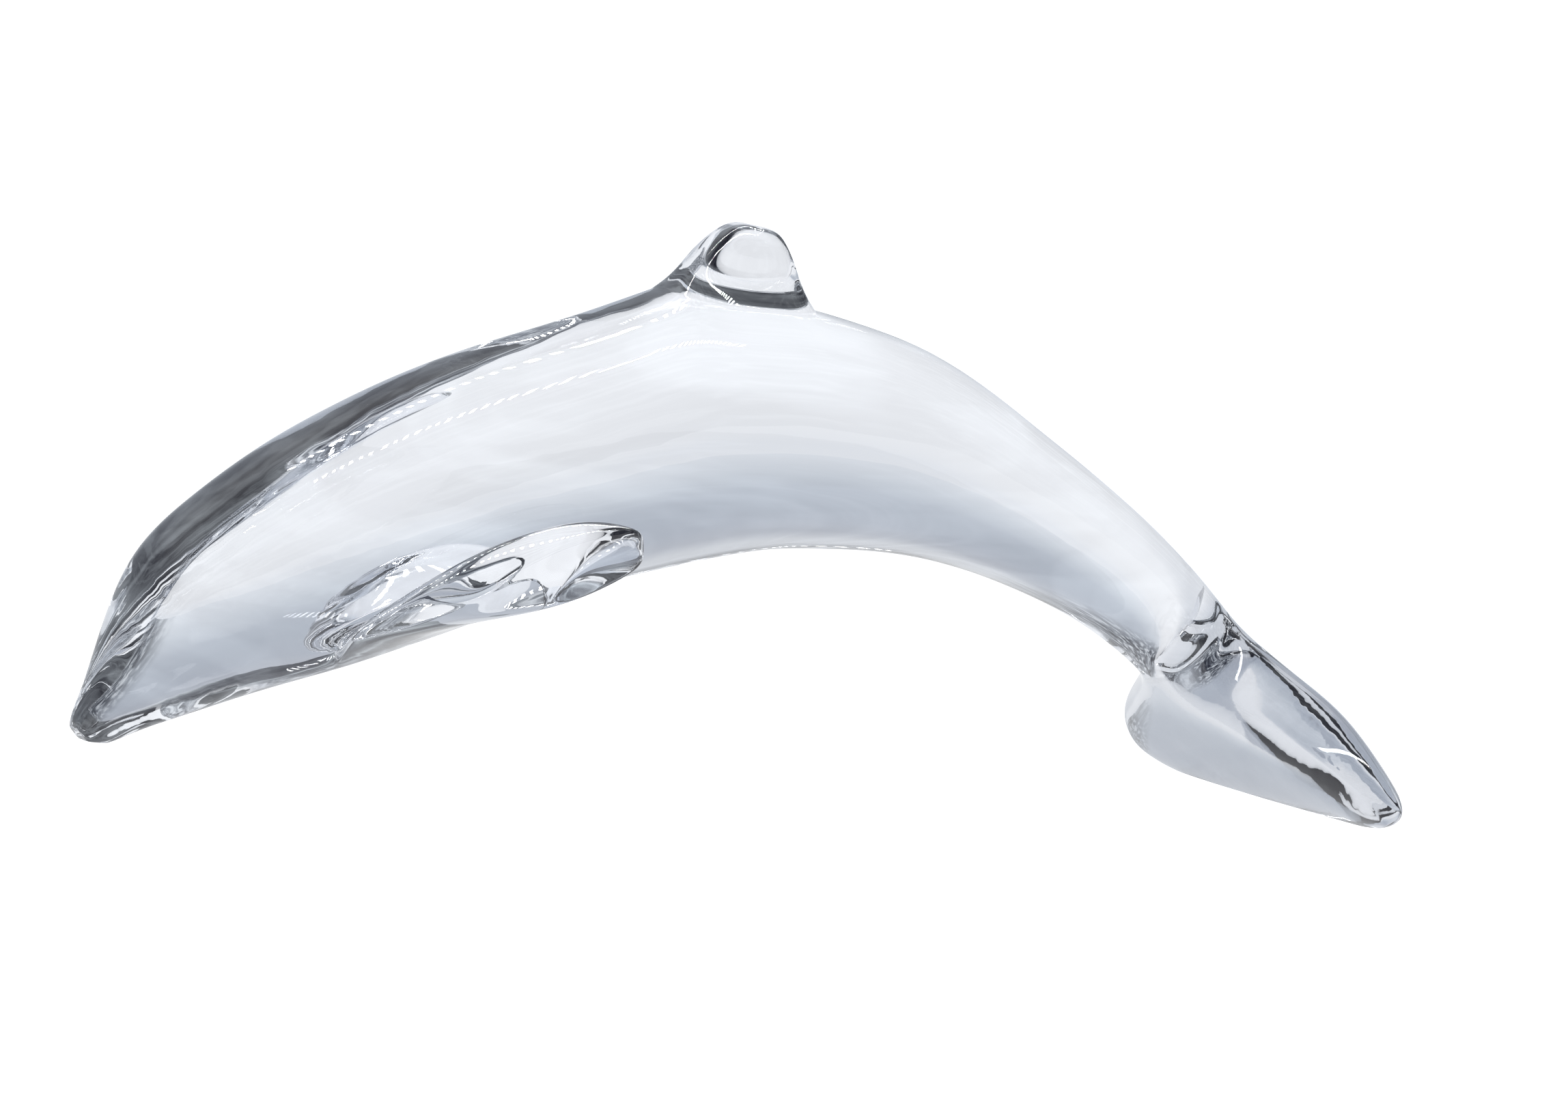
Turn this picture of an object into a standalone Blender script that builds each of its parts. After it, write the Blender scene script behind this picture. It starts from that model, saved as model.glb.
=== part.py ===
"""A solid crystal dolphin that stands as an arch on its chin and the trailing edge of its flukes.

It is one hot shaped glass figurine: a body, with a dorsal fin, two pectoral fins and a pair of tail flukes
fused to it. The whole skin is one subdivision cage. It is cut along the fusion lines, each piece is closed
with the same joint face as its neighbour, and each applied piece stands off by the joint gap.

The head points along -X, the dolphin's left side along -Y and its back along +Z. The table is at z = 0.
"""

import math

import bmesh
import bpy
from mathutils import Vector

MM = 0.001

JOINT_GAP = 0.3
SKIN_LEVELS = 1
# The cage is turned down the flanks near the pectoral fins, by this many degrees at most on the left
# and on the right, so that only the lower flank bulges towards a fin.
FLANK_DROP_LEFT = 7
FLANK_DROP_RIGHT = 16
FLANK_DROP_X = -75
FLANK_DROP_REACH = 38
DORSAL_CREASE = 1.0
PECTORAL_CREASE = 0.4
PECTORAL_EDGE_CREASE = 0.3  # round the edge of the outer face
PECTORAL_DEPTHS = (0.4, 0.85, 1.0, 0.66)  # depth of each row, from the pointed front to the round tip
FLUKE_RIDGE_CREASE = 0.9  # between the underside of the flukes and their leading faces
FLUKE_RIDGES = (5, 11)  # the cage columns of those ridges
SIDES = 16  # cage points round the body, the first one on the back
FLANK_SQUARENESS = 2.5  # 2 gives an ellipse, more gives flatter flanks

BODY, DORSAL, PECTORAL_LEFT, PECTORAL_RIGHT, FLUKE = range(5)
NAMES = ("body", "dorsal_fin", "pectoral_fin_left", "pectoral_fin_right", "tail_fluke")

# The body's sections from the beak to the tail stock, in millimetres and degrees:
# x and z of the centre, slope of the axis, half height across the axis, half width.
BODY_SECTIONS = (
    (-115.3, 0.6, 46, 1.9, 2.2),
    (-113.6, 2.0, 46, 3.4, 4.0),
    (-111.2, 4.8, 45, 4.5, 5.6),
    (-105.8, 11.2, 44, 9.2, 8.5),
    (-99.4, 18.3, 41, 13.8, 11.2),
    (-88.9, 24.3, 37, 16.2, 13.3),
    (-79.9, 29.7, 33, 17.6, 14.6),
    (-70.4, 34.3, 29, 18.3, 15.3),
    (-61.0, 38.7, 26, 18.8, 15.6),
    (-48.5, 43.1, 21, 19.2, 15.6),
    (-35.6, 47.0, 15, 19.6, 15.4),
    (-27.0, 49.9, 12, 20.4, 15.1),
    (-19.6, 50.2, 7, 19.0, 14.9),
    (-12.8, 50.8, 4, 18.4, 14.6),
    (-7.2, 50.9, 1, 17.9, 14.3),
    (11.4, 49.4, -9, 15.8, 13.3),
    (27.5, 43.5, -19, 12.1, 11.6),
    (41.0, 37.6, -27, 10.1, 9.9),
    (54.1, 31.1, -34, 8.8, 8.3),
    (65.8, 22.1, -43, 7.3, 7.8),
)

# The flukes' sections from the tail stock to the trailing edge: the same five numbers, then how square
# the section's ends are.
FLUKE_SECTIONS = (
    (69.6, 18.5, -46, 7.6, 16.5, 2.6),
    (76.3, 11.6, -50, 7.2, 31.0, 3.2),
    (82.3, 3.8, -53, 4.2, 38.0, 3.4),
    (84.8, 0.7, -54, 2.3, 33.0, 3.2),
)

# The dorsal fin stands on these sections, one column of cage each side of the midline.
DORSAL_ROWS = (11, 12, 13, 14)
# Its levels from foot to top: height, front x, rear x, slope of the level, half thickness.
DORSAL_LEVELS = (
    (71.3, -28.5, -9.3, -2, 5.2),
    (75.4, -26.0, -10.8, -4, 4.2),
    (79.7, -21.0, -13.6, -7, 3.0),
)

# A pectoral fin grows from these sections, on the lower flank.
PECTORAL_ROWS = (5, 6, 7, 8)
PECTORAL_STEPS = (5, 6, 7)
# Its levels from root to tip: x, y and z of the centre, half chord, half depth, slope of the chord
# and how far the section leans out at its foot.
PECTORAL_LEVELS = (
    (-67.0, 17.0, 26.4, 18.0, 6.4, 25, -3.5),
    (-60.4, 20.6, 28.7, 17.0, 5.8, 23, -2.0),
    (-54.4, 23.6, 29.6, 14.2, 4.8, 21, -1.0),
)
RIGHT_FIN_LOWER = 4.5  # the right fin was pressed on this much lower than the left one


def section(x, z, slope, half_height, half_width, squareness=FLANK_SQUARENESS):
    """The cage points round one section, starting on the back and turning towards +Y."""
    tilt = math.radians(slope)
    up = Vector((-math.sin(tilt), 0, math.cos(tilt)))
    near_fins = math.exp(-((x - FLANK_DROP_X) / FLANK_DROP_REACH) ** 2)
    points = []
    for step in range(SIDES):
        turn = 2 * math.pi * step / SIDES
        drop = FLANK_DROP_RIGHT if step < SIDES / 2 else FLANK_DROP_LEFT
        turn += math.radians(drop) * near_fins * math.sin(turn)
        across = math.copysign(abs(math.sin(turn)) ** (2 / squareness), math.sin(turn))
        rise = math.copysign(abs(math.cos(turn)) ** (2 / squareness), math.cos(turn))
        points.append(Vector((x, half_width * across, z)) + up * (half_height * rise))
    return points


def dorsal_level(height, front, rear, slope, half_thickness):
    """One level of the dorsal fin, as rows along the body of points across it."""
    grid = []
    count = len(DORSAL_ROWS)
    for row in range(count):
        share = row / (count - 1)
        x = front + (rear - front) * share
        z = height + math.tan(math.radians(slope)) * (x - (front + rear) / 2)
        thin = half_thickness * (0.8 if row in (0, count - 1) else 1.0)
        grid.append([Vector((x, thin * across, z)) for across in (-1, 0, 1)])
    return grid


def pectoral_level(x, y, z, half_chord, half_depth, slope, lean, side):
    """One level of a pectoral fin, as rows along the chord of points down it."""
    if side > 0:
        z -= RIGHT_FIN_LOWER
        y -= RIGHT_FIN_LOWER / 2
    tilt = math.radians(slope)
    along = Vector((math.cos(tilt), 0, math.sin(tilt)))
    down = Vector((math.sin(tilt), 0, -math.cos(tilt)))
    grid = []
    count = len(PECTORAL_ROWS)
    for row in range(count):
        share = 2 * row / (count - 1) - 1
        depth = half_depth * PECTORAL_DEPTHS[row]
        line = []
        for step in range(len(PECTORAL_STEPS)):
            drop = 2 * step / (len(PECTORAL_STEPS) - 1) - 1
            point = Vector((x, y, z)) + along * (half_chord * share) + down * (depth * drop)
            point.y = (point.y + lean * drop) * side
            line.append(point)
        grid.append(line)
    return grid


def rim(grid):
    """The points round the edge of a grid, in order."""
    right = [row[-1] for row in grid[1:-1]]
    left = [row[0] for row in grid[1:-1]]
    return list(grid[0]) + right + list(grid[-1])[::-1] + left[::-1]


def coons(loop, corners):
    """A grid of positions across a closed loop: four sides meet at the corners, the first one at 0."""
    sides = []
    for start, end in zip(corners, list(corners[1:]) + [len(loop)]):
        sides.append([loop[i % len(loop)] for i in range(start, end + 1)])
    top, right, bottom, left = sides[0], sides[1], sides[2][::-1], sides[3][::-1]
    rows, columns = len(left) - 1, len(top) - 1
    grid = []
    for i in range(rows + 1):
        v = i / rows
        line = []
        for j in range(columns + 1):
            u = j / columns
            ruled = top[j] * (1 - v) + bottom[j] * v + left[i] * (1 - u) + right[i] * u
            corner = (top[0] * (1 - u) + top[-1] * u) * (1 - v) + (bottom[0] * (1 - u) + bottom[-1] * u) * v
            line.append(ruled - corner)
        grid.append(line)
    return grid


class Skin:
    """Points and quads, each quad with the number of the piece it belongs to."""

    def __init__(self):
        self.points = []
        self.quads = []
        self.pieces = []
        self.creases = {}

    def add(self, points):
        first = len(self.points)
        self.points.extend(points)
        return list(range(first, len(self.points)))

    def quad(self, corners, piece):
        self.quads.append(tuple(corners))
        self.pieces.append(piece)

    def crease(self, loop, sharpness):
        """Makes the skin turn more sharply along a loop of point numbers."""
        self.crease_line(loop + loop[:1], sharpness)

    def crease_line(self, line, sharpness):
        for a, b in zip(line, line[1:]):
            self.creases[frozenset((a, b))] = sharpness

    def close(self, loop, corners, piece):
        """Fills a loop of point numbers with a grid of quads."""
        grid = coons([self.points[i] for i in loop], corners)
        edge = {}
        for number, at in zip(loop, rim(self.numbered(grid))):
            edge[at] = number
        numbers = []
        for i, line in enumerate(grid):
            numbers.append([edge[(i, j)] if (i, j) in edge else self.add([point])[0] for j, point in enumerate(line)])
        self.tile(numbers, piece)

    @staticmethod
    def numbered(grid):
        return [[(i, j) for j in range(len(grid[0]))] for i in range(len(grid))]

    def tile(self, grid, piece):
        for row, after in zip(grid, grid[1:]):
            for corners in zip(row, row[1:], after[1:], after):
                self.quad(corners, piece)

    def wall(self, below, above, piece):
        for i in range(len(below)):
            j = (i + 1) % len(below)
            self.quad((below[i], below[j], above[j], above[i]), piece)

    def raise_fin(self, root, levels, piece):
        """Walls up from the rim of the root patch through each level, with a grid over the last."""
        below = rim(root)
        for level in levels[:-1]:
            above = self.add(rim(level))
            self.wall(below, above, piece)
            below = above
        top = [self.add(line) for line in levels[-1]]
        self.wall(below, rim(top), piece)
        self.tile(top, piece)
        return rim(top)


def cage():
    """The whole skin as one cage, and the root corners of each applied piece."""
    skin = Skin()
    rings = [skin.add(section(*numbers)) for numbers in BODY_SECTIONS + FLUKE_SECTIONS]
    roots = {
        DORSAL: [[rings[row][step] for step in (-1, 0, 1)] for row in DORSAL_ROWS],
        PECTORAL_RIGHT: [[rings[row][step] for step in PECTORAL_STEPS] for row in PECTORAL_ROWS],
        PECTORAL_LEFT: [[rings[row][-step] for step in PECTORAL_STEPS] for row in PECTORAL_ROWS],
    }
    covered = set()
    for grid in roots.values():
        for row, after in zip(grid, grid[1:]):
            for corners in zip(row, row[1:], after[1:], after):
                covered.add(frozenset(corners))
    for number, (ring, after) in enumerate(zip(rings, rings[1:])):
        piece = BODY if number < len(BODY_SECTIONS) - 1 else FLUKE
        for i in range(SIDES):
            j = (i + 1) % SIDES
            corners = (ring[i], ring[j], after[j], after[i])
            if frozenset(corners) not in covered:
                skin.quad(corners, piece)
    quarter = (0, SIDES // 4, SIDES // 2, 3 * SIDES // 4)
    eighth = SIDES // 8
    nose, edge = rings[0], rings[-1]
    skin.close(nose[eighth:] + nose[:eighth], quarter, BODY)
    skin.close(edge[eighth:] + edge[:eighth], quarter, FLUKE)

    skin.raise_fin(roots[DORSAL], [dorsal_level(*numbers) for numbers in DORSAL_LEVELS], DORSAL)
    for piece, side in ((PECTORAL_RIGHT, 1), (PECTORAL_LEFT, -1)):
        levels = [pectoral_level(*numbers, side) for numbers in PECTORAL_LEVELS]
        skin.crease(skin.raise_fin(roots[piece], levels, piece), PECTORAL_EDGE_CREASE)
    for step in FLUKE_RIDGES:
        skin.crease_line([ring[step] for ring in rings[len(BODY_SECTIONS):]], FLUKE_RIDGE_CREASE)

    corners = {}
    for piece, grid in roots.items():
        skin.crease(rim(grid), DORSAL_CREASE if piece == DORSAL else PECTORAL_CREASE)
        corners[piece] = (grid[0][0], grid[0][-1], grid[-1][-1], grid[-1][0])
    stock = rings[len(BODY_SECTIONS) - 1]
    corners[FLUKE] = tuple(stock[eighth + at] for at in quarter)
    return skin, corners


def subdivided(skin, levels):
    """The smooth skin. The cage's own points keep their numbers."""
    mesh = bpy.data.meshes.new("skin")
    mesh.from_pydata([point * MM for point in skin.points], [], skin.quads)
    for face, piece in zip(mesh.polygons, skin.pieces):
        face.material_index = piece
    form = bmesh.new()
    form.from_mesh(mesh)
    bmesh.ops.recalc_face_normals(form, faces=form.faces)
    form.to_mesh(mesh)
    form.free()
    sharpness = mesh.attributes.new("crease_edge", "FLOAT", "EDGE")
    for edge, value in zip(mesh.edges, sharpness.data):
        value.value = skin.creases.get(frozenset(edge.vertices), 0.0)
    helper = bpy.data.objects.new("skin", mesh)
    bpy.context.scene.collection.objects.link(helper)
    smooth = helper.modifiers.new("smooth", "SUBSURF")
    smooth.levels = levels
    smooth.render_levels = levels
    smooth.use_limit_surface = True
    evaluated = helper.evaluated_get(bpy.context.evaluated_depsgraph_get())
    fine = bpy.data.meshes.new_from_object(evaluated)
    result = Skin()
    result.points = [vertex.co / MM for vertex in fine.vertices]
    for face in fine.polygons:
        result.quad(face.vertices, face.material_index)
    bpy.data.objects.remove(helper)
    bpy.data.meshes.remove(mesh)
    bpy.data.meshes.remove(fine)
    return result


def joint_loop(skin, piece, corners):
    """The fusion line of an applied piece, as point numbers in order, and where its corners fall."""
    owner = {}
    for number, quad in enumerate(skin.quads):
        for a, b in zip(quad, quad[1:] + quad[:1]):
            owner.setdefault(frozenset((a, b)), []).append(skin.pieces[number])
    beside = {}
    for edge, pieces in owner.items():
        if sorted(pieces) == [BODY, piece]:
            a, b = edge
            beside.setdefault(a, []).append(b)
            beside.setdefault(b, []).append(a)
    for step in beside[corners[0]]:
        loop = [corners[0], step]
        while loop[-1] != corners[0]:
            a, b = beside[loop[-1]]
            loop.append(b if a == loop[-2] else a)
        loop.pop()
        places = [loop.index(corner) for corner in corners]
        if places == sorted(places):
            return loop, places


def closed_piece(skin, piece, joints):
    """One piece as a closed bmesh in metres: its own quads and a face over each of its joints."""
    part = Skin()
    part.points = list(skin.points)
    for quad, owner in zip(skin.quads, skin.pieces):
        if owner == piece:
            part.quad(quad, 0)
    for applied, (loop, places) in joints.items():
        if piece in (BODY, applied):
            part.close(loop, places, 1)
    form = bmesh.new()
    used = sorted({number for quad in part.quads for number in quad})
    verts = {number: form.verts.new(part.points[number] * MM) for number in used}
    for quad, kind in zip(part.quads, part.pieces):
        form.faces.new([verts[number] for number in quad]).material_index = kind
    bmesh.ops.recalc_face_normals(form, faces=form.faces)
    return form


def ground(form):
    """Grinds away whatever lies under the table, leaving a flat foot."""
    everything = form.verts[:] + form.edges[:] + form.faces[:]
    cut = bmesh.ops.bisect_plane(form, geom=everything, plane_co=(0, 0, 0), plane_no=(0, 0, 1), clear_inner=True)
    edges = [item for item in cut["geom_cut"] if isinstance(item, bmesh.types.BMEdge)]
    if edges:
        bmesh.ops.holes_fill(form, edges=form.edges[:], sides=0)


def glass(name, tint, roughness):
    material = bpy.data.materials.new(name)
    material.use_nodes = True
    shader = material.node_tree.nodes["Principled BSDF"]
    shader.inputs["Base Color"].default_value = (*tint, 1.0)
    shader.inputs["Roughness"].default_value = roughness
    shader.inputs["IOR"].default_value = 1.55
    shader.inputs["Transmission Weight"].default_value = 0.9
    return material


def middle(skin):
    """The x of the middle of the skin's length."""
    low = min(point.x for point in skin.points)
    high = max(point.x for point in skin.points)
    return (low + high) / 2


for thing in list(bpy.data.objects):
    bpy.data.objects.remove(thing)

rough_skin, root_corners = cage()
skin = subdivided(rough_skin, SKIN_LEVELS)
shift = -middle(skin)
for point in skin.points:
    point.x += shift
joints = {piece: joint_loop(skin, piece, corners) for piece, corners in root_corners.items()}

STANDOFF = {
    BODY: Vector((0, 0, 0)),
    DORSAL: Vector((0, 0, JOINT_GAP)),
    PECTORAL_LEFT: Vector((0, -JOINT_GAP, -JOINT_GAP / 2)),
    PECTORAL_RIGHT: Vector((0, JOINT_GAP, -JOINT_GAP / 2)),
    FLUKE: Vector((JOINT_GAP, 0, -JOINT_GAP)),
}
TINTS = {
    BODY: (0.90, 0.93, 0.96),
    DORSAL: (0.88, 0.92, 0.96),
    PECTORAL_LEFT: (0.86, 0.90, 0.95),
    PECTORAL_RIGHT: (0.86, 0.90, 0.95),
    FLUKE: (0.88, 0.91, 0.95),
}

for piece, name in enumerate(NAMES):
    form = closed_piece(skin, piece, joints)
    bmesh.ops.translate(form, verts=form.verts, vec=STANDOFF[piece] * MM)
    ground(form)
    mesh = bpy.data.meshes.new(name)
    form.to_mesh(mesh)
    form.free()
    mesh.materials.append(glass(f"clear glass of the {name}", TINTS[piece], 0.02))
    for face in mesh.polygons:
        face.material_index = 0
        face.use_smooth = True
    bpy.context.scene.collection.objects.link(bpy.data.objects.new(name, mesh))
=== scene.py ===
"""Looks of a solid crystal dolphin that stands on its chin and the edge of its tail flukes.

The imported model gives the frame. Each of its nodes is replaced by a fine piece of polished glass, grown
from one subdivision cage, so that the skin runs on across the fused joints. Sizes are in millimetres
until a mesh is made. The head points along -X and the dolphin's left side along -Y.
"""

import math

import bmesh
import bpy
from mathutils import Matrix, Vector, kdtree, noise


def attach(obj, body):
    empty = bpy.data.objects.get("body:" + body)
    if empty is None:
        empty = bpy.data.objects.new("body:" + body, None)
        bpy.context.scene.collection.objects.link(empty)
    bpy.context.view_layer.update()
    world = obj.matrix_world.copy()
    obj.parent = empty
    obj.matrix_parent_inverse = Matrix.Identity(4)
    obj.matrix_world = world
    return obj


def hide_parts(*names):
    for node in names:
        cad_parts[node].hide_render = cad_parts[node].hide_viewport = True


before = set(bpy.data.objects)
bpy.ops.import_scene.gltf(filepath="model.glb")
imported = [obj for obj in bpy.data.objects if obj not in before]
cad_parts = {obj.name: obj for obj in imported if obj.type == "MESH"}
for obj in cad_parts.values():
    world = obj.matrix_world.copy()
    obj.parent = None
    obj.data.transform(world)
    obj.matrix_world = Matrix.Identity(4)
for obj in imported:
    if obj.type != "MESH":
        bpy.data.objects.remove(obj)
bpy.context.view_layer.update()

MM = 0.001

SKIN_LEVELS = 3  # times that the cage is subdivided
SIDES = 16  # cage points round the body, the first one on the back
FLANK_SQUARENESS = 2.5  # 2 gives an ellipse, more gives flatter flanks
# The cage is turned down the flanks near the pectoral fins, by this many degrees at most on the left
# and on the right, so that only the lower flank bulges towards a fin.
FLANK_DROP_LEFT = 7
FLANK_DROP_RIGHT = 16
FLANK_DROP_X = -75
FLANK_DROP_REACH = 38
# How sharply the skin turns, from 0 to 1.
DORSAL_CREASE = 1.0  # round the foot of the dorsal fin
PECTORAL_CREASE = 0.4  # round the root of a pectoral fin
PECTORAL_EDGE_CREASE = 0.3  # round the edge of a pectoral fin's outer face
FLUKE_RIDGE_CREASE = 0.9  # between the underside of the flukes and their leading faces
FLUKE_RIDGES = (5, 11)  # the cage columns of those ridges

BODY, DORSAL, PECTORAL_LEFT, PECTORAL_RIGHT, FLUKE = range(5)
NAMES = ("body", "dorsal_fin", "pectoral_fin_left", "pectoral_fin_right", "tail_fluke")

# The body's sections from the beak to the tail stock, in millimetres and degrees:
# x and z of the centre, slope of the axis, half height across the axis, half width.
BODY_SECTIONS = (
    (-115.3, 0.6, 46, 1.9, 2.2),
    (-113.6, 2.0, 46, 3.4, 4.0),
    (-111.2, 4.8, 45, 4.5, 5.6),
    (-105.8, 11.2, 44, 9.2, 8.5),
    (-99.4, 18.3, 41, 13.8, 11.2),
    (-88.9, 24.3, 37, 16.2, 13.3),
    (-79.9, 29.7, 33, 17.6, 14.6),
    (-70.4, 34.3, 29, 18.3, 15.3),
    (-61.0, 38.7, 26, 18.8, 15.6),
    (-48.5, 43.1, 21, 19.2, 15.6),
    (-35.6, 47.0, 15, 19.6, 15.4),
    (-27.0, 49.9, 12, 20.4, 15.1),
    (-19.6, 50.2, 7, 19.0, 14.9),
    (-12.8, 50.8, 4, 18.4, 14.6),
    (-7.2, 50.9, 1, 17.9, 14.3),
    (11.4, 49.4, -9, 15.8, 13.3),
    (27.5, 43.5, -19, 12.1, 11.6),
    (41.0, 37.6, -27, 10.1, 9.9),
    (54.1, 31.1, -34, 8.8, 8.3),
    (65.8, 22.1, -43, 7.3, 7.8),
)

# The flukes' sections from the tail stock to the trailing edge: the same five numbers, then how square
# the section's ends are.
FLUKE_SECTIONS = (
    (69.6, 18.5, -46, 7.6, 16.5, 2.6),
    (76.3, 11.6, -50, 7.2, 31.0, 3.2),
    (82.3, 3.8, -53, 4.2, 38.0, 3.4),
    (84.8, 0.7, -54, 2.3, 33.0, 3.2),
)

# The dorsal fin stands on these sections, one column of cage each side of the midline.
DORSAL_ROWS = (11, 12, 13, 14)
DORSAL_END_THICKNESS = 0.8  # of the first and last row, as a share of the others
# Its levels from foot to top: height, front x, rear x, slope of the level, half thickness.
DORSAL_LEVELS = (
    (71.3, -28.5, -9.3, -2, 5.2),
    (75.4, -26.0, -10.8, -4, 4.2),
    (79.7, -21.0, -13.6, -7, 3.0),
)

# A pectoral fin grows from these sections, on the lower flank.
PECTORAL_ROWS = (5, 6, 7, 8)
PECTORAL_STEPS = (5, 6, 7)
PECTORAL_DEPTHS = (0.4, 0.85, 1.0, 0.66)  # depth of each row, from the pointed front to the round tip
# Its levels from root to tip: x, y and z of the centre, half chord, half depth, slope of the chord
# and how far the section leans out at its foot.
PECTORAL_LEVELS = (
    (-67.0, 17.0, 26.4, 18.0, 6.4, 25, -3.5),
    (-60.4, 20.6, 28.7, 17.0, 5.8, 23, -2.0),
    (-54.4, 23.6, 29.6, 14.2, 4.8, 21, -1.0),
)
RIGHT_FIN_LOWER = 4.5  # the right fin was pressed on this much lower than the left one


def section(x, z, slope, half_height, half_width, squareness=FLANK_SQUARENESS):
    """The cage points round one section, starting on the back and turning towards +Y."""
    tilt = math.radians(slope)
    up = Vector((-math.sin(tilt), 0, math.cos(tilt)))
    near_fins = math.exp(-((x - FLANK_DROP_X) / FLANK_DROP_REACH) ** 2)
    points = []
    for step in range(SIDES):
        turn = 2 * math.pi * step / SIDES
        drop = FLANK_DROP_RIGHT if step < SIDES / 2 else FLANK_DROP_LEFT
        turn += math.radians(drop) * near_fins * math.sin(turn)
        across = math.copysign(abs(math.sin(turn)) ** (2 / squareness), math.sin(turn))
        rise = math.copysign(abs(math.cos(turn)) ** (2 / squareness), math.cos(turn))
        points.append(Vector((x, half_width * across, z)) + up * (half_height * rise))
    return points


def dorsal_level(height, front, rear, slope, half_thickness):
    """One level of the dorsal fin, as rows along the body of points across it."""
    grid = []
    count = len(DORSAL_ROWS)
    for row in range(count):
        share = row / (count - 1)
        x = front + (rear - front) * share
        z = height + math.tan(math.radians(slope)) * (x - (front + rear) / 2)
        thin = half_thickness * (DORSAL_END_THICKNESS if row in (0, count - 1) else 1.0)
        grid.append([Vector((x, thin * across, z)) for across in (-1, 0, 1)])
    return grid


def pectoral_level(x, y, z, half_chord, half_depth, slope, lean, side):
    """One level of a pectoral fin, as rows along the chord of points down it."""
    if side > 0:
        z -= RIGHT_FIN_LOWER
        y -= RIGHT_FIN_LOWER / 2
    tilt = math.radians(slope)
    along = Vector((math.cos(tilt), 0, math.sin(tilt)))
    down = Vector((math.sin(tilt), 0, -math.cos(tilt)))
    grid = []
    count = len(PECTORAL_ROWS)
    for row in range(count):
        share = 2 * row / (count - 1) - 1
        depth = half_depth * PECTORAL_DEPTHS[row]
        line = []
        for step in range(len(PECTORAL_STEPS)):
            drop = 2 * step / (len(PECTORAL_STEPS) - 1) - 1
            point = Vector((x, y, z)) + along * (half_chord * share) + down * (depth * drop)
            point.y = (point.y + lean * drop) * side
            line.append(point)
        grid.append(line)
    return grid


def rim(grid):
    """The points round the edge of a grid, in order."""
    right = [row[-1] for row in grid[1:-1]]
    left = [row[0] for row in grid[1:-1]]
    return list(grid[0]) + right + list(grid[-1])[::-1] + left[::-1]


def coons(loop, corners):
    """A grid of positions across a closed loop: four sides meet at the corners, the first one at 0."""
    sides = []
    for start, end in zip(corners, list(corners[1:]) + [len(loop)]):
        sides.append([loop[i % len(loop)] for i in range(start, end + 1)])
    top, right, bottom, left = sides[0], sides[1], sides[2][::-1], sides[3][::-1]
    rows, columns = len(left) - 1, len(top) - 1
    grid = []
    for i in range(rows + 1):
        v = i / rows
        line = []
        for j in range(columns + 1):
            u = j / columns
            ruled = top[j] * (1 - v) + bottom[j] * v + left[i] * (1 - u) + right[i] * u
            corner = (top[0] * (1 - u) + top[-1] * u) * (1 - v) + (bottom[0] * (1 - u) + bottom[-1] * u) * v
            line.append(ruled - corner)
        grid.append(line)
    return grid


class Skin:
    """Points and quads, each quad with the number of the piece it belongs to."""

    def __init__(self):
        self.points = []
        self.quads = []
        self.pieces = []
        self.creases = {}

    def add(self, points):
        """Adds points and returns their numbers."""
        first = len(self.points)
        self.points.extend(points)
        return list(range(first, len(self.points)))

    def quad(self, corners, piece):
        """Adds one quad, given by its corners' numbers."""
        self.quads.append(tuple(corners))
        self.pieces.append(piece)

    def crease(self, loop, sharpness):
        """Makes the skin turn more sharply along a loop of point numbers."""
        self.crease_line(loop + loop[:1], sharpness)

    def crease_line(self, line, sharpness):
        """Makes the skin turn more sharply along an open line of point numbers."""
        for a, b in zip(line, line[1:]):
            self.creases[frozenset((a, b))] = sharpness

    def close(self, loop, corners, piece):
        """Fills a loop of point numbers with a grid of quads."""
        grid = coons([self.points[i] for i in loop], corners)
        places = [[(i, j) for j in range(len(grid[0]))] for i in range(len(grid))]
        known = dict(zip(rim(places), loop))
        numbers = []
        for row, points in zip(places, grid):
            line = []
            for at, point in zip(row, points):
                line.append(known[at] if at in known else self.add([point])[0])
            numbers.append(line)
        self.tile(numbers, piece)

    def tile(self, grid, piece):
        """Quads over a grid of point numbers."""
        for row, after in zip(grid, grid[1:]):
            for corners in zip(row, row[1:], after[1:], after):
                self.quad(corners, piece)

    def wall(self, below, above, piece):
        """Quads from one loop of point numbers to the next."""
        for i in range(len(below)):
            j = (i + 1) % len(below)
            self.quad((below[i], below[j], above[j], above[i]), piece)

    def raise_fin(self, root, levels, piece):
        """Walls up from the rim of the root patch through each level, with a grid over the last.

        It returns the rim of that grid.
        """
        below = rim(root)
        for level in levels[:-1]:
            above = self.add(rim(level))
            self.wall(below, above, piece)
            below = above
        top = [self.add(line) for line in levels[-1]]
        self.wall(below, rim(top), piece)
        self.tile(top, piece)
        return rim(top)


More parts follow.
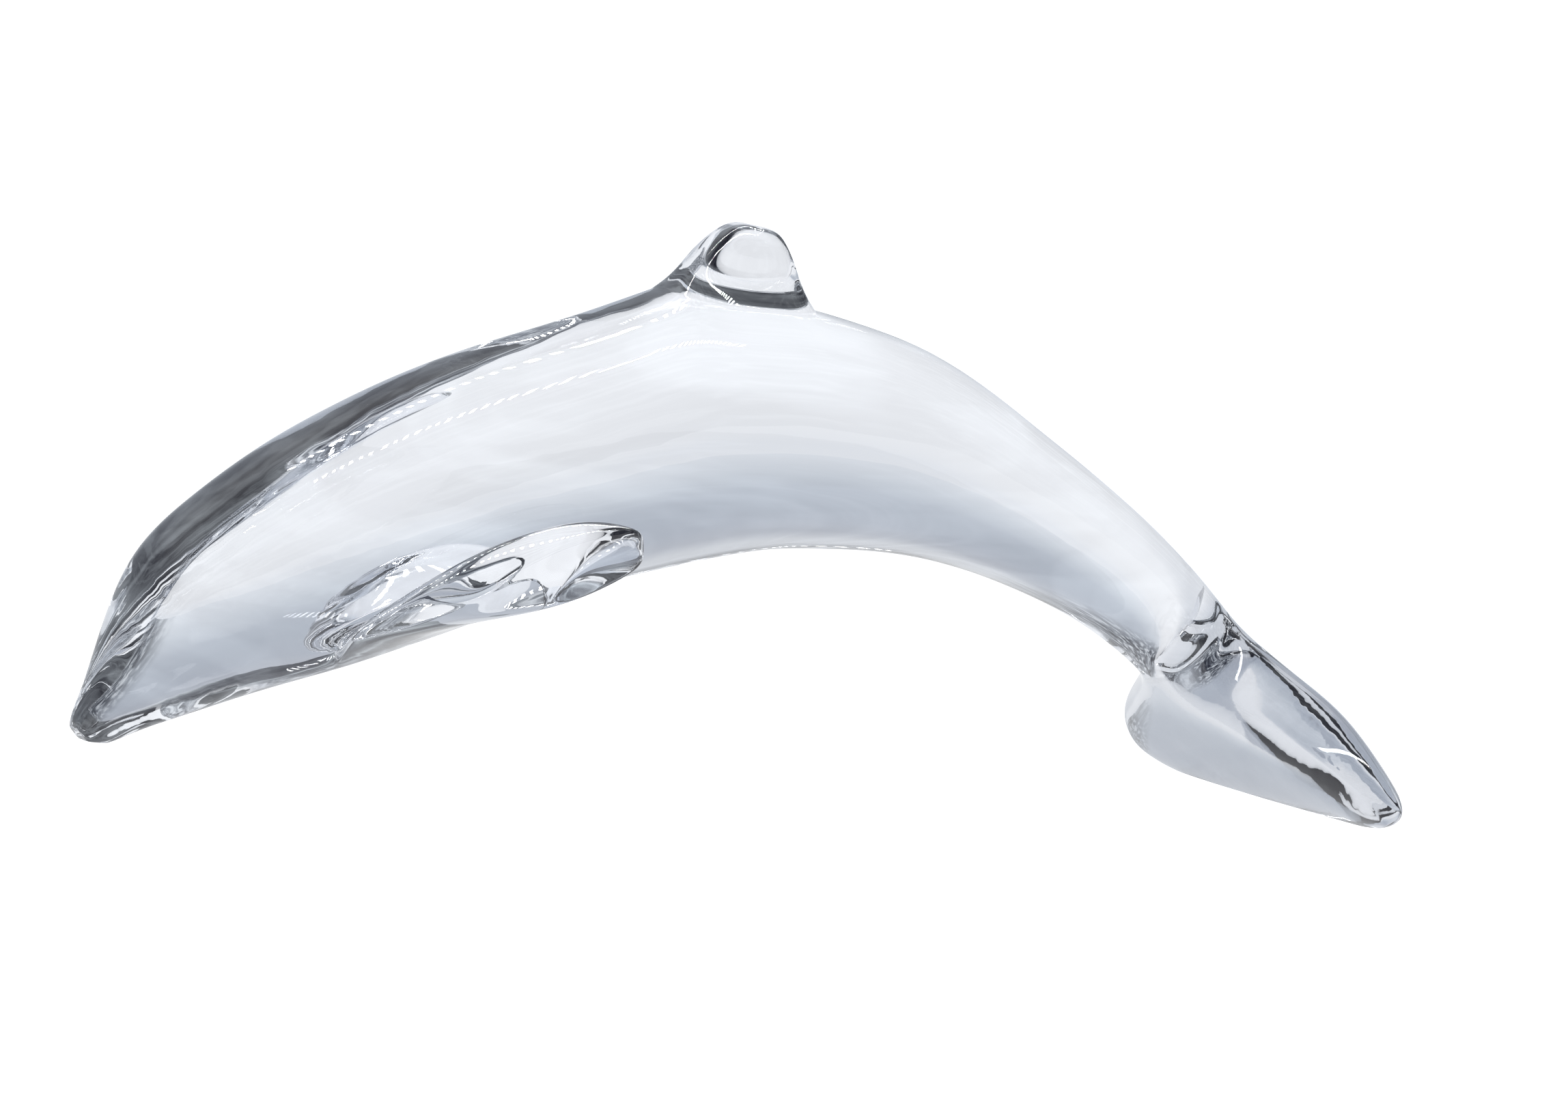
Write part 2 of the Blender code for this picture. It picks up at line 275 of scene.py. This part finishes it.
def cage():
    """The whole skin as one cage, and the root corners of each applied piece."""
    skin = Skin()
    rings = [skin.add(section(*numbers)) for numbers in BODY_SECTIONS + FLUKE_SECTIONS]
    roots = {
        DORSAL: [[rings[row][step] for step in (-1, 0, 1)] for row in DORSAL_ROWS],
        PECTORAL_RIGHT: [[rings[row][step] for step in PECTORAL_STEPS] for row in PECTORAL_ROWS],
        PECTORAL_LEFT: [[rings[row][-step] for step in PECTORAL_STEPS] for row in PECTORAL_ROWS],
    }
    covered = set()
    for grid in roots.values():
        for row, after in zip(grid, grid[1:]):
            for corners in zip(row, row[1:], after[1:], after):
                covered.add(frozenset(corners))
    for number, (ring, after) in enumerate(zip(rings, rings[1:])):
        piece = BODY if number < len(BODY_SECTIONS) - 1 else FLUKE
        for i in range(SIDES):
            j = (i + 1) % SIDES
            corners = (ring[i], ring[j], after[j], after[i])
            if frozenset(corners) not in covered:
                skin.quad(corners, piece)
    quarter = (0, SIDES // 4, SIDES // 2, 3 * SIDES // 4)
    eighth = SIDES // 8
    nose, edge = rings[0], rings[-1]
    skin.close(nose[eighth:] + nose[:eighth], quarter, BODY)
    skin.close(edge[eighth:] + edge[:eighth], quarter, FLUKE)

    skin.raise_fin(roots[DORSAL], [dorsal_level(*numbers) for numbers in DORSAL_LEVELS], DORSAL)
    for piece, side in ((PECTORAL_RIGHT, 1), (PECTORAL_LEFT, -1)):
        levels = [pectoral_level(*numbers, side) for numbers in PECTORAL_LEVELS]
        skin.crease(skin.raise_fin(roots[piece], levels, piece), PECTORAL_EDGE_CREASE)
    for step in FLUKE_RIDGES:
        skin.crease_line([ring[step] for ring in rings[len(BODY_SECTIONS):]], FLUKE_RIDGE_CREASE)

    corners = {}
    for piece, grid in roots.items():
        skin.crease(rim(grid), DORSAL_CREASE if piece == DORSAL else PECTORAL_CREASE)
        corners[piece] = (grid[0][0], grid[0][-1], grid[-1][-1], grid[-1][0])
    stock = rings[len(BODY_SECTIONS) - 1]
    corners[FLUKE] = tuple(stock[eighth + at] for at in quarter)
    return skin, corners


def subdivided(skin, levels):
    """The smooth skin. The cage's own points keep their numbers."""
    mesh = bpy.data.meshes.new("skin")
    mesh.from_pydata([point * MM for point in skin.points], [], skin.quads)
    for face, piece in zip(mesh.polygons, skin.pieces):
        face.material_index = piece
    form = bmesh.new()
    form.from_mesh(mesh)
    bmesh.ops.recalc_face_normals(form, faces=form.faces)
    form.to_mesh(mesh)
    form.free()
    sharpness = mesh.attributes.new("crease_edge", "FLOAT", "EDGE")
    for edge, value in zip(mesh.edges, sharpness.data):
        value.value = skin.creases.get(frozenset(edge.vertices), 0.0)
    helper = bpy.data.objects.new("skin", mesh)
    bpy.context.scene.collection.objects.link(helper)
    smooth = helper.modifiers.new("smooth", "SUBSURF")
    smooth.levels = levels
    smooth.render_levels = levels
    smooth.use_limit_surface = True
    evaluated = helper.evaluated_get(bpy.context.evaluated_depsgraph_get())
    fine = bpy.data.meshes.new_from_object(evaluated)
    result = Skin()
    result.points = [vertex.co / MM for vertex in fine.vertices]
    for face in fine.polygons:
        result.quad(face.vertices, face.material_index)
    bpy.data.objects.remove(helper)
    bpy.data.meshes.remove(mesh)
    bpy.data.meshes.remove(fine)
    return result


def joint_loop(skin, piece, corners):
    """The fusion line of an applied piece, as point numbers in order, and where its corners fall."""
    owner = {}
    for number, quad in enumerate(skin.quads):
        for a, b in zip(quad, quad[1:] + quad[:1]):
            owner.setdefault(frozenset((a, b)), []).append(skin.pieces[number])
    beside = {}
    for edge, pieces in owner.items():
        if sorted(pieces) == [BODY, piece]:
            a, b = edge
            beside.setdefault(a, []).append(b)
            beside.setdefault(b, []).append(a)
    for step in beside[corners[0]]:
        loop = [corners[0], step]
        while loop[-1] != corners[0]:
            a, b = beside[loop[-1]]
            loop.append(b if a == loop[-2] else a)
        loop.pop()
        places = [loop.index(corner) for corner in corners]
        if places == sorted(places):
            return loop, places


def closed_piece(skin, piece, joints):
    """One piece as a closed bmesh in metres: its own quads and a face over each of its joints."""
    part = Skin()
    part.points = list(skin.points)
    for quad, owner in zip(skin.quads, skin.pieces):
        if owner == piece:
            part.quad(quad, 0)
    for applied, (loop, places) in joints.items():
        if piece in (BODY, applied):
            part.close(loop, places, 1)
    form = bmesh.new()
    used = sorted({number for quad in part.quads for number in quad})
    verts = {number: form.verts.new(part.points[number] * MM) for number in used}
    for quad, kind in zip(part.quads, part.pieces):
        form.faces.new([verts[number] for number in quad]).material_index = kind
    bmesh.ops.recalc_face_normals(form, faces=form.faces)
    return form


def ground(form):
    """Grinds away whatever lies under the table, leaving a flat foot."""
    everything = form.verts[:] + form.edges[:] + form.faces[:]
    bmesh.ops.bisect_plane(form, geom=everything, plane_co=(0, 0, 0), plane_no=(0, 0, 1), clear_inner=True)
    bmesh.ops.holes_fill(form, edges=form.edges[:], sides=0)


# The slight unevenness of glass that was shaped hot: wavelength and height.
RIPPLE = ((21.0, 0.16), (9.0, 0.035))
# The back of the flukes was pulled and pressed, so it is more uneven, from its root on.
FLUKE_BACK = Vector((0.72, 0, 0.69))
FLUKE_ROOT_X, FLUKE_ROOT_LENGTH = 74.0, 8
FLUKE_WAVE, FLUKE_WAVE_HEIGHT = 14.0, 0.4
ON_TABLE = 1e-7  # a point lower than this, in metres, is on the ground foot


def skin_normals(skin):
    """The normal of the whole skin at each point, so that the pieces' seams don't show."""
    normals = [Vector((0, 0, 0)) for _ in skin.points]
    for quad in skin.quads:
        a, b, c, d = (skin.points[number] for number in quad)
        facing = (c - a).cross(d - b)
        for number in quad:
            normals[number] += facing
    for normal in normals:
        normal.normalize()
    return normals


def ripple(point, normal):
    """How far the hot-worked surface stands off the smooth one."""
    along = min(max((point.x - FLUKE_ROOT_X) / FLUKE_ROOT_LENGTH, 0), 1)
    rise = along * max(normal.dot(FLUKE_BACK), 0) * FLUKE_WAVE_HEIGHT * noise.noise(point / FLUKE_WAVE)
    for number, (wavelength, height) in enumerate(RIPPLE):
        offset = Vector((17.0 * number, 5.0, 3.0))
        rise += height * noise.noise(point / wavelength + offset)
    return rise


def outward(skin):
    """Turns every quad of the skin to face out."""
    mesh = bpy.data.meshes.new("facing")
    mesh.from_pydata(skin.points, [], skin.quads)
    form = bmesh.new()
    form.from_mesh(mesh)
    bmesh.ops.recalc_face_normals(form, faces=form.faces)
    form.faces.ensure_lookup_table()
    quads = [tuple(vert.index for vert in face.verts) for face in form.faces]
    form.free()
    bpy.data.meshes.remove(mesh)
    skin.quads = quads


def piece_mesh(skin, normals, piece, joints, name):
    """One piece as a closed mesh in metres, with the whole skin's normals. The joint faces have slot 1."""
    form = closed_piece(skin, piece, joints)
    layer = form.verts.layers.float_vector.new("skin_normal")
    tree = kdtree.KDTree(len(skin.points))
    for number, point in enumerate(skin.points):
        tree.insert(point * MM, number)
    tree.balance()
    for vert in form.verts:
        vert[layer] = normals[tree.find(vert.co)[1]]
    ground(form)
    mesh = bpy.data.meshes.new(name)
    for face in form.faces:
        face.smooth = True
    loops = []
    for face in form.faces:
        level = face.material_index == 1 or all(abs(vert.co.z) < ON_TABLE for vert in face.verts)
        for corner in face.loops:
            loops.append(face.normal.copy() if level else corner.vert[layer].normalized())
    form.to_mesh(mesh)
    form.free()
    mesh.normals_split_custom_set(loops)
    return mesh


# Glass.

IOR = 1.55  # of lead crystal
CLEAR = (0.93, 0.945, 0.975)
# Each piece's glass colour. The flukes' darker one is painted shade on the same crystal, not a different
# glass.
TINTS_AND_SHADE = {BODY: CLEAR, DORSAL: CLEAR, PECTORAL_LEFT: CLEAR, PECTORAL_RIGHT: CLEAR, FLUKE: (0.80, 0.82, 0.86)}
CLOUD_SCALE, CLOUD_SHARE = 28.0, 0.985  # faint clouds in the tint, and how dark they are
HAZE_SCALE, HAZE_ROUGHNESS = 60.0, 0.035  # patches of polish haze, and the roughest of them
DRAW_SLOPE = 32  # how steeply the drawn lines run down to the head, in degrees
DRAW_STRETCH = 0.12  # the pattern's scale along the lines, against 1 across them
WAVE_SCALE, WAVE_STRENGTH, WAVE_HEIGHT = 220.0, 0.16, 0.0002
# A solid piece pipes light along inside, and it shows faintly along the drawn lines. This small glow
# stands in for it: its scale, its colour between and on the lines, and each piece's share of it.
LINE_SCALE = 160.0
GLOW_BETWEEN_LINES, GLOW_ON_LINES = (0.002, 0.002, 0.003), (0.048, 0.052, 0.056)
PAINTED_GLOW_SHARE = {BODY: 1.0, DORSAL: 1.0, PECTORAL_LEFT: 0.6, PECTORAL_RIGHT: 0.6, FLUKE: 0.25}


def input_node(tree, kind, vector, **sockets):
    """A new node with a vector linked in and its other named sockets set."""
    node = tree.nodes.new(kind)
    tree.links.new(vector, node.inputs["Vector"])
    for name, value in sockets.items():
        node.inputs[name].default_value = value
    return node


def ramp(tree, value, stops):
    """A colour ramp over a value. Each stop is a position and a colour."""
    node = tree.nodes.new("ShaderNodeValToRGB")
    elements = node.color_ramp.elements
    while len(elements) < len(stops):
        elements.new(0.5)
    for element, (position, colour) in zip(elements, sorted(stops)):
        element.position = position
        element.color = (*colour, 1)
    tree.links.new(value, node.inputs["Fac"])
    return node.outputs["Color"]


def scaled(colour, share):
    return tuple(share * channel for channel in colour)


def crystal(name, tint_and_shade, glow_share):
    """Clear polished crystal: a cool body colour, which on the flukes is darkened as painted shade, faint
    draw lines with a painted glow along them, and haze.
    """
    material = bpy.data.materials.new(name)
    material.use_nodes = True
    tree = material.node_tree
    link = tree.links.new
    shader = tree.nodes["Principled BSDF"]
    shader.inputs["Transmission Weight"].default_value = 1.0
    shader.inputs["IOR"].default_value = IOR
    place = tree.nodes.new("ShaderNodeTexCoord").outputs["Object"]

    cloud = input_node(tree, "ShaderNodeTexNoise", place, Scale=CLOUD_SCALE, Detail=3.0)
    stops = ((0.35, scaled(tint_and_shade, CLOUD_SHARE)), (0.7, tint_and_shade))
    link(ramp(tree, cloud.outputs["Fac"], stops), shader.inputs["Base Color"])

    smear = input_node(tree, "ShaderNodeTexNoise", place, Scale=HAZE_SCALE, Detail=5.0, Roughness=0.6)
    haze = tree.nodes.new("ShaderNodeMapRange")
    haze.inputs["From Min"].default_value = 0.45
    haze.inputs["From Max"].default_value = 0.85
    haze.inputs["To Min"].default_value = 0.0
    haze.inputs["To Max"].default_value = HAZE_ROUGHNESS
    link(smear.outputs["Fac"], haze.inputs["Value"])
    link(haze.outputs["Result"], shader.inputs["Roughness"])

    turn, stretch = (0, math.radians(DRAW_SLOPE), 0), (DRAW_STRETCH, 1.0, 1.0)
    drawn = input_node(tree, "ShaderNodeMapping", place, Rotation=turn, Scale=stretch).outputs["Vector"]
    wave = input_node(tree, "ShaderNodeTexNoise", drawn, Scale=WAVE_SCALE, Detail=2.0)
    bump = tree.nodes.new("ShaderNodeBump")
    bump.inputs["Strength"].default_value = WAVE_STRENGTH
    bump.inputs["Distance"].default_value = WAVE_HEIGHT
    link(wave.outputs["Fac"], bump.inputs["Height"])
    link(bump.outputs["Normal"], shader.inputs["Normal"])

    # Painted glow: an emission along the drawn lines stands in for light piped inside the glass.
    line = input_node(tree, "ShaderNodeTexNoise", drawn, Scale=LINE_SCALE, Detail=3.0)
    stops = ((0.50, GLOW_BETWEEN_LINES), (0.62, scaled(GLOW_ON_LINES, glow_share)))
    link(ramp(tree, line.outputs["Fac"], stops), shader.inputs["Emission Color"])
    shader.inputs["Emission Strength"].default_value = 1.0
    return material


def fused_joint():
    """The face where two pieces are fused: the glass runs on through it, so light passes straight on."""
    material = bpy.data.materials.new("fused joint")
    material.use_nodes = True
    tree = material.node_tree
    tree.nodes.clear()
    clear = tree.nodes.new("ShaderNodeBsdfTransparent")
    output = tree.nodes.new("ShaderNodeOutputMaterial")
    tree.links.new(clear.outputs["BSDF"], output.inputs["Surface"])
    return material


# The pieces.

rough_skin, root_corners = cage()
skin = subdivided(rough_skin, SKIN_LEVELS)
outward(skin)
low = min(point.x for point in skin.points)
high = max(point.x for point in skin.points)
for point in skin.points:
    point.x -= (low + high) / 2
normals = skin_normals(skin)
for point, normal in zip(skin.points, normals):
    point += normal * ripple(point, normal)
normals = skin_normals(skin)
joints = {piece: joint_loop(skin, piece, corners) for piece, corners in root_corners.items()}
joint_face = fused_joint()
for piece, name in enumerate(NAMES):
    mesh = piece_mesh(skin, normals, piece, joints, f"{name}_crystal")
    mesh.materials.append(crystal(f"crystal of the {name}", TINTS_AND_SHADE[piece], PAINTED_GLOW_SHARE[piece]))
    mesh.materials.append(joint_face)
    thing = bpy.data.objects.new(f"{name}_crystal", mesh)
    bpy.context.scene.collection.objects.link(thing)
    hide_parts(name)
    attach(thing, "root")

# The studio.


def emission(name):
    """A new material that only glows, and its emission node."""
    material = bpy.data.materials.new(name)
    material.use_nodes = True
    tree = material.node_tree
    tree.nodes.clear()
    glow = tree.nodes.new("ShaderNodeEmission")
    output = tree.nodes.new("ShaderNodeOutputMaterial")
    tree.links.new(glow.outputs["Emission"], output.inputs["Surface"])
    return material, glow


UNSEEN = ("camera", "diffuse", "shadow")  # only the glass shows such a card


def stage_mesh(name, material, quads, hidden_from=()):
    """A staged mesh of flat quads, each given by its four corners."""
    mesh = bpy.data.meshes.new(name)
    points = [corner for quad in quads for corner in quad]
    mesh.from_pydata(points, [], [tuple(range(4 * i, 4 * i + 4)) for i in range(len(quads))])
    mesh.materials.append(material)
    thing = bpy.data.objects.new(name, mesh)
    bpy.context.scene.collection.objects.link(thing)
    for kind in hidden_from:
        setattr(thing, f"visible_{kind}", False)


def multiplied(tree, first, second):
    """The product of two colours."""
    product = tree.nodes.new("ShaderNodeMix")
    product.data_type = "RGBA"
    product.blend_type = "MULTIPLY"
    product.inputs["Factor"].default_value = 1.0
    tree.links.new(first, product.inputs["A"])
    tree.links.new(second, product.inputs["B"])
    return product.outputs["Result"]


def flat(x, y, half_length, half_width, z):
    """A level quad about a centre."""
    left, right, near, far = x - half_length, x + half_length, y - half_width, y + half_width
    return ((left, near, z), (right, near, z), (right, far, z), (left, far, z))


TABLE_HALF = 40.0  # metres, so the table reaches the horizon
TABLE_LEVEL, GLASS_TABLE_LEVEL = -0.0001, -0.00005


# A plain white table that carries on to the horizon.
table = bpy.data.materials.new("white table")
table.use_nodes = True
surface = table.node_tree.nodes["Principled BSDF"]
surface.inputs["Base Color"].default_value = (0.8, 0.8, 0.8, 1)
surface.inputs["Roughness"].default_value = 0.9
surface.inputs["Specular IOR Level"].default_value = 0.0
surface.inputs["Emission Color"].default_value = (1, 1, 1, 1)
surface.inputs["Emission Strength"].default_value = 1.0
stage_mesh("table", table, [flat(0, 0, TABLE_HALF, TABLE_HALF, TABLE_LEVEL)])

# What the glass shows of the table: almost white, with painted shade that darkens it towards the backdrop and
# in a patch beside the flukes.
PAINTED_SHADE_BESIDE_FLUKES = (0.125, 0.035, 0)
fading, glow = emission("table through the glass")
tree = fading.node_tree
place = tree.nodes.new("ShaderNodeNewGeometry").outputs["Position"]
split = tree.nodes.new("ShaderNodeSeparateXYZ")
tree.links.new(place, split.inputs["Vector"])
stops = ((0.12, (0.92, 0.93, 0.945)), (0.3, (0.86, 0.87, 0.885)), (0.9, (0.80, 0.82, 0.85)))
fade = ramp(tree, split.outputs["Y"], stops)
apart = tree.nodes.new("ShaderNodeVectorMath")
apart.operation = "DISTANCE"
apart.inputs[1].default_value = PAINTED_SHADE_BESIDE_FLUKES
tree.links.new(place, apart.inputs[0])
# Painted shade: a darker patch of table, seen through the glass, beside the flukes.
shade = ramp(tree, apart.outputs["Value"], ((0.02, (0.72, 0.74, 0.77)), (0.06, (1, 1, 1))))
tree.links.new(multiplied(tree, fade, shade), glow.inputs["Color"])
stage_mesh("table through the glass", fading, [flat(0, 0, TABLE_HALF, TABLE_HALF, GLASS_TABLE_LEVEL)], UNSEEN)

# A dark streaky card behind the head, that the rim of the chin picks up.
dark, glow = emission("dark card")
tree = dark.node_tree
place = tree.nodes.new("ShaderNodeTexCoord").outputs["Object"]
flattened = input_node(tree, "ShaderNodeMapping", place, Scale=(25, 25, 90))
streaks = input_node(tree, "ShaderNodeTexNoise", flattened.outputs["Vector"], Scale=1.0, Detail=4.0)
tree.links.new(ramp(tree, streaks.outputs["Fac"], (
    (0.38, (0.012, 0.014, 0.025)),
    (0.50, (0.10, 0.11, 0.13)),
    (0.60, (0.30, 0.33, 0.35)),
    (0.68, (0.60, 0.64, 0.68)),
)), glow.inputs["Color"])
REAR_CARD = ((-0.125, 0.043, 0.005), (-0.025, 0.043, 0.055), (-0.025, 0.043, 0.16), (-0.125, 0.043, 0.11))
stage_mesh("dark card behind the head", dark, [REAR_CARD], UNSEEN + ("glossy",))

# The room: a grey-blue backdrop, with dark streaky clutter overhead, on the camera's side and past the
# tail.
world = bpy.data.worlds.new("room")
bpy.context.scene.world = world
world.use_nodes = True
tree = world.node_tree
background = tree.nodes["Background"]
way = tree.nodes.new("ShaderNodeTexCoord").outputs["Generated"]
split = tree.nodes.new("ShaderNodeSeparateXYZ")
tree.links.new(way, split.inputs["Vector"])
backdrop = ramp(tree, split.outputs["Z"], (
    (0.00, (0.74, 0.77, 0.81)),
    (0.09, (0.60, 0.64, 0.69)),
    (0.17, (0.49, 0.53, 0.59)),
    (0.26, (0.45, 0.49, 0.55)),
    (0.42, (0.44, 0.475, 0.535)),
    (0.57, (0.47, 0.495, 0.545)),
    (0.70, (0.66, 0.68, 0.71)),
))


def shaded(colour, towards, start, end, left):
    """The colour, giving way to the colour left where the view nearly points in one direction."""
    facing = tree.nodes.new("ShaderNodeVectorMath")
    facing.operation = "DOT_PRODUCT"
    facing.inputs[1].default_value = Vector(towards).normalized()
    tree.links.new(way, facing.inputs[0])
    share = ramp(tree, facing.outputs["Value"], ((start, (1, 1, 1)), (end, (0, 0, 0))))
    blend = tree.nodes.new("ShaderNodeMix")
    blend.data_type = "RGBA"
    tree.links.new(share, blend.inputs["Factor"])
    tree.links.new(left, blend.inputs["A"])
    tree.links.new(colour, blend.inputs["B"])
    return blend.outputs["Result"]


strung_out = input_node(tree, "ShaderNodeMapping", way, Scale=(4, 22, 22))
clutter = input_node(tree, "ShaderNodeTexNoise", strung_out.outputs["Vector"], Scale=1.0, Detail=3.0)
dim = ramp(tree, clutter.outputs["Fac"], (
    (0.36, (0.012, 0.014, 0.025)),
    (0.46, (0.09, 0.10, 0.12)),
    (0.54, (0.24, 0.26, 0.29)),
    (0.64, (0.62, 0.65, 0.68)),
))
in_front = shaded(backdrop, (-0.05, -0.85, 0.5), 0.45, 0.7, dim)
overhead = shaded(in_front, (0, 0, 1), 0.80, 0.92, dim)
beside_tail = shaded(overhead, (0.95, 0.1, 0.3), 0.8, 0.93, dim)
tree.links.new(beside_tail, background.inputs["Color"])
background.inputs["Strength"].default_value = 1.0

# Two strips of small lamps hang over the table, one in front of the dolphin and one behind it.
lamp, glow = emission("lamp")
glow.inputs["Strength"].default_value = 60.0
LAMP_PITCH, LAMP_LENGTH, LAMP_WIDTH = 0.008, 0.0032, 0.018
LAMP_HEIGHT = 0.3
LAMPS_EACH_SIDE = 20
LAMP_STRIPS = {"front": -0.152, "rear": 0.058}
lamp_places = [number * LAMP_PITCH for number in range(-LAMPS_EACH_SIDE, LAMPS_EACH_SIDE + 1)]
for place, y in LAMP_STRIPS.items():
    dots = [flat(x, y, LAMP_LENGTH / 2, LAMP_WIDTH / 2, LAMP_HEIGHT) for x in lamp_places]
    stage_mesh(f"lamp strip {place}", lamp, dots, UNSEEN)

bpy.context.scene.view_settings.view_transform = "Standard"

# The camera. Its angles, distance and offsets in metres were fitted to the figurine's outline.
AZIMUTH, ELEVATION, ROLL = math.radians(-30), math.radians(5.2), math.radians(6.7)
DISTANCE, LENS, SENSOR_WIDTH = 1.2, 190.0, 36.0
NEAREST, FARTHEST = 0.01, 200.0
OFFSET_RIGHT, OFFSET_UP = 0.00693, -0.0076
TARGET = Vector((0, 0, 0.04))

back = Vector((
    math.sin(AZIMUTH) * math.cos(ELEVATION),
    -math.cos(AZIMUTH) * math.cos(ELEVATION),
    math.sin(ELEVATION),
))
level = Vector((math.cos(AZIMUTH), math.sin(AZIMUTH), 0))
upright = back.cross(level)
right = level * math.cos(ROLL) + upright * math.sin(ROLL)
up = upright * math.cos(ROLL) - level * math.sin(ROLL)
camera = bpy.data.objects.new("camera", bpy.data.cameras.new("camera"))
camera.data.lens = LENS
camera.data.sensor_width = SENSOR_WIDTH
camera.data.clip_start = NEAREST
camera.data.clip_end = FARTHEST
camera.matrix_world = Matrix.Translation(
    TARGET + right * OFFSET_RIGHT + up * OFFSET_UP + back * DISTANCE
) @ Matrix((right, up, back)).transposed().to_4x4()
bpy.context.scene.collection.objects.link(camera)
bpy.context.scene.camera = camera
